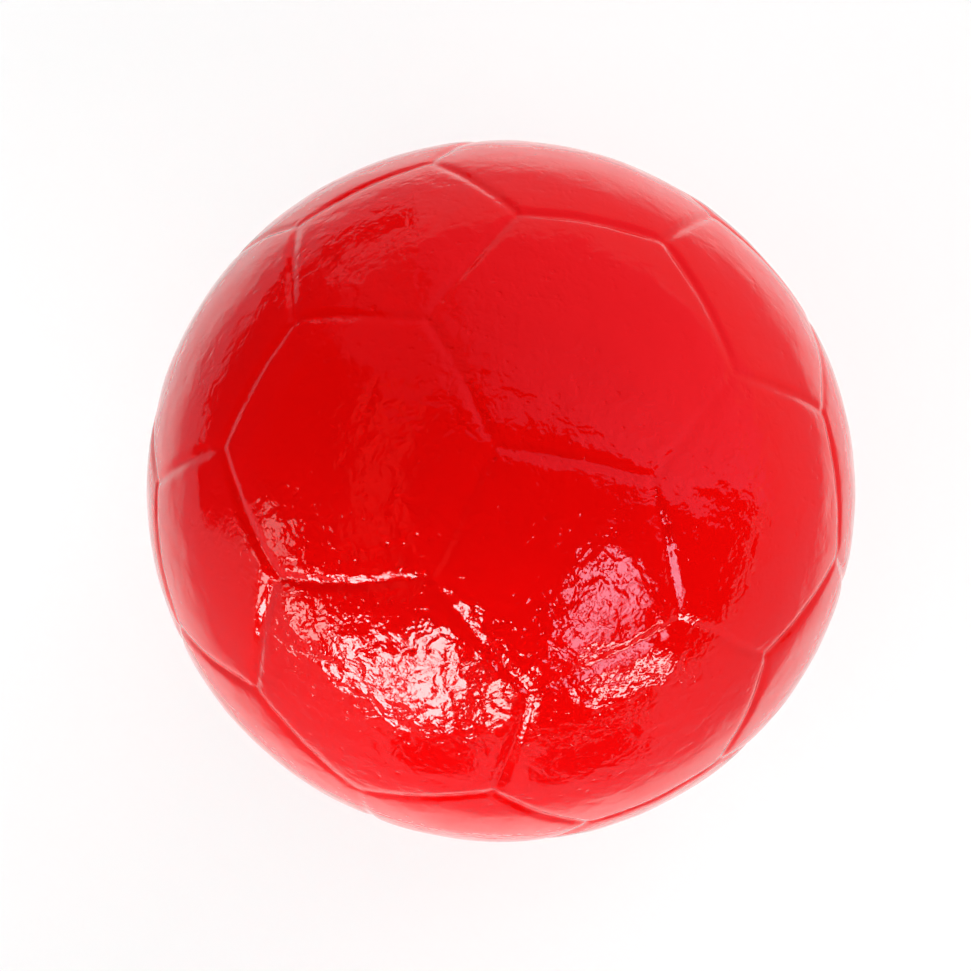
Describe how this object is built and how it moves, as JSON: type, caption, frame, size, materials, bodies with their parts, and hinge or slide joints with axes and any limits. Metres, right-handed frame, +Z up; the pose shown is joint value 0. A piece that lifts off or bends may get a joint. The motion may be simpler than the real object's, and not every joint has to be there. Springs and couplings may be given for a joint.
{
  "type": "handball",
  "caption": "Coated foam handball with moulded panel grooves: a soft foam core closed by a sealing film and a glossy red film.",
  "frame": {"origin": "centre of the ball", "axes": "+Z up, X and Y level; the panel pattern is turned against these axes as the picture shows it from above"},
  "size_m": [0.16, 0.16, 0.16],
  "materials": {
    "foam": "matt open-cell flexible foam, cream",
    "sealer": "satin elastic film, pale",
    "red_film": "glossy elastic film, red, with a fine wrinkle"
  },
  "bodies": {
    "root": {"foam_core": "foam", "sealing_coat": "sealer", "colour_coat": "red_film"}
  },
  "joints": []
}
